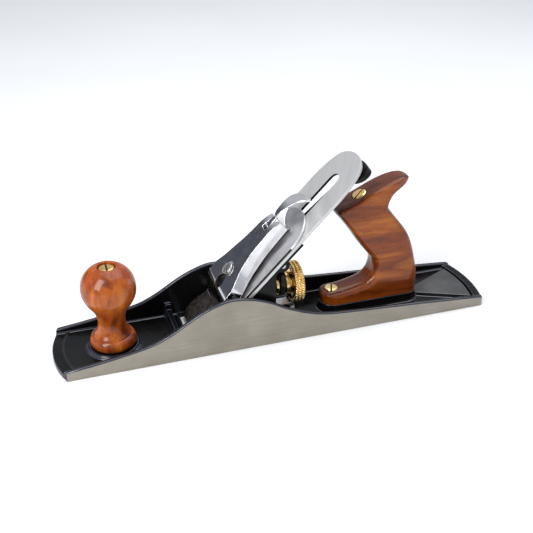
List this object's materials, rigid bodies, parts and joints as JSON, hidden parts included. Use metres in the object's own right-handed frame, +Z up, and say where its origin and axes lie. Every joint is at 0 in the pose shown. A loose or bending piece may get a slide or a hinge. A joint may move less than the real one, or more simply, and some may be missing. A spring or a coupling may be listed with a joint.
{
  "type": "bench hand plane",
  "caption": "Iron-bodied bench plane with sliding frog, bedded iron and cap iron, cam lever cap, depth wheel, lateral lever, turned knob and shaped rear handle.",
  "frame": {"origin": "centre of the sole's underside, midway between toe and heel and between the two sides", "axes": "+X from the toe to the heel, +Y to the side away from a viewer who sees the toe at the left, +Z up from the sole"},
  "size_m": [0.355, 0.0636, 0.1366],
  "materials": {
    "ground_iron": "ground sides and sole, black enamel inside",
    "black_enamel": "glossy stove enamel",
    "dark_iron": "as cast, dark",
    "steel": "plain turned steel",
    "brushed_blade": "satin, ground along its length",
    "polished_steel": "mirror polished",
    "brass": "turned and lightly aged",
    "knob_wood": "varnished orange-brown",
    "handle_wood": "varnished red-brown with dark streaks"
  },
  "bodies": {
    "casting": {"body_casting": "ground_iron", "frog_screw_left": "steel", "frog_screw_right": "steel", "frog_washer_left": "steel", "frog_washer_right": "steel", "front_knob": "knob_wood", "knob_bolt": "steel", "knob_nut": "brass", "rear_handle": "handle_wood", "handle_bolt": "steel", "handle_nut": "brass", "handle_toe_screw": "brass"},
    "frog": {"frog": "black_enamel", "adjusting_clip": "steel", "clip_screw": "steel", "adjuster_stud": "steel", "yoke_pin": "steel", "lateral_rivet": "steel", "lever_cap_screw": "steel"},
    "frog_screw": {"frog_adjusting_screw": "steel"},
    "yoke": {"yoke": "dark_iron"},
    "adjuster_hub": {"adjuster_hub": "brass"},
    "adjuster_wheel": {"adjuster_wheel": "brass"},
    "lateral_lever": {"lateral_lever": "black_enamel", "lateral_disc": "steel"},
    "iron_carrier": {"cap_iron_screw": "steel"},
    "iron": {"plane_iron": "brushed_blade", "cap_iron": "brushed_blade"},
    "lever_cap": {"lever_cap": "polished_steel", "cam_pin": "steel", "lever_cap_spring": "steel", "spring_rivet": "steel"},
    "cam_lever": {"cam_lever": "polished_steel"}
  },
  "joints": [
    {"name": "frog_screw_turn", "type": "hinge", "parent": "frog", "child": "frog_screw", "pos_m": [0, 0, 0.0095], "axis": [-1, 0, 0], "range_deg": [-433, 433]},
    {"name": "frog_slide", "type": "slide", "parent": "casting", "child": "frog", "axis": [-1, 0, 0], "range_m": [-0.0012, 0.0012]},
    {"name": "depth_wheel_turn", "type": "hinge", "parent": "adjuster_hub", "child": "adjuster_wheel", "pos_m": [0.016, 0, 0.034], "axis": [-1, 0, 0], "range_deg": [-721, 721]},
    {"name": "hub_slide", "type": "slide", "parent": "frog", "child": "adjuster_hub", "axis": [1, 0, 0], "range_m": [-0.00212, 0.00212]},
    {"name": "yoke_swing", "type": "hinge", "parent": "frog", "child": "yoke", "pos_m": [0.00398, 0, 0.05452], "axis": [0, -1, 0], "range_deg": [-5.95, 5.95]},
    {"name": "iron_feed", "type": "slide", "parent": "frog", "child": "iron_carrier", "axis": [-0.7071, 0, -0.7071], "range_m": [-0.00162, 0.00162]},
    {"name": "lateral_swing", "type": "hinge", "parent": "frog", "child": "lateral_lever", "pos_m": [0.00724, 0, 0.07813], "axis": [-0.7071, 0, 0.7071], "range_deg": [-3.5, 16.5]},
    {"name": "iron_tilt", "type": "hinge", "parent": "iron_carrier", "child": "iron", "pos_m": [-0.01575, 0, 0.05515], "axis": [-0.7071, 0, 0.7071], "range_deg": [-1.66, 0.36]},
    {"name": "lever_cap_slide", "type": "slide", "parent": "frog", "child": "lever_cap", "axis": [0.7071, 0, 0.7071], "range_m": [0, 0.0115]},
    {"name": "cam_lever_swing", "type": "hinge", "parent": "lever_cap", "child": "cam_lever", "pos_m": [-0.0009, 0, 0.08485], "axis": [0, -1, 0], "range_deg": [0, 80]}
  ],
  "couplings": [
    {"joint": "frog_screw_turn", "follows": "frog_slide", "rad_per_m": 6283.2},
    {"joint": "depth_wheel_turn", "follows": "iron_feed", "rad_per_m": 7762},
    {"joint": "hub_slide", "follows": "iron_feed", "ratio": 1.307},
    {"joint": "yoke_swing", "follows": "iron_feed", "rad_per_m": 63.694},
    {"joint": "iron_tilt", "follows": "lateral_swing", "ratio": -0.1}
  ]
}
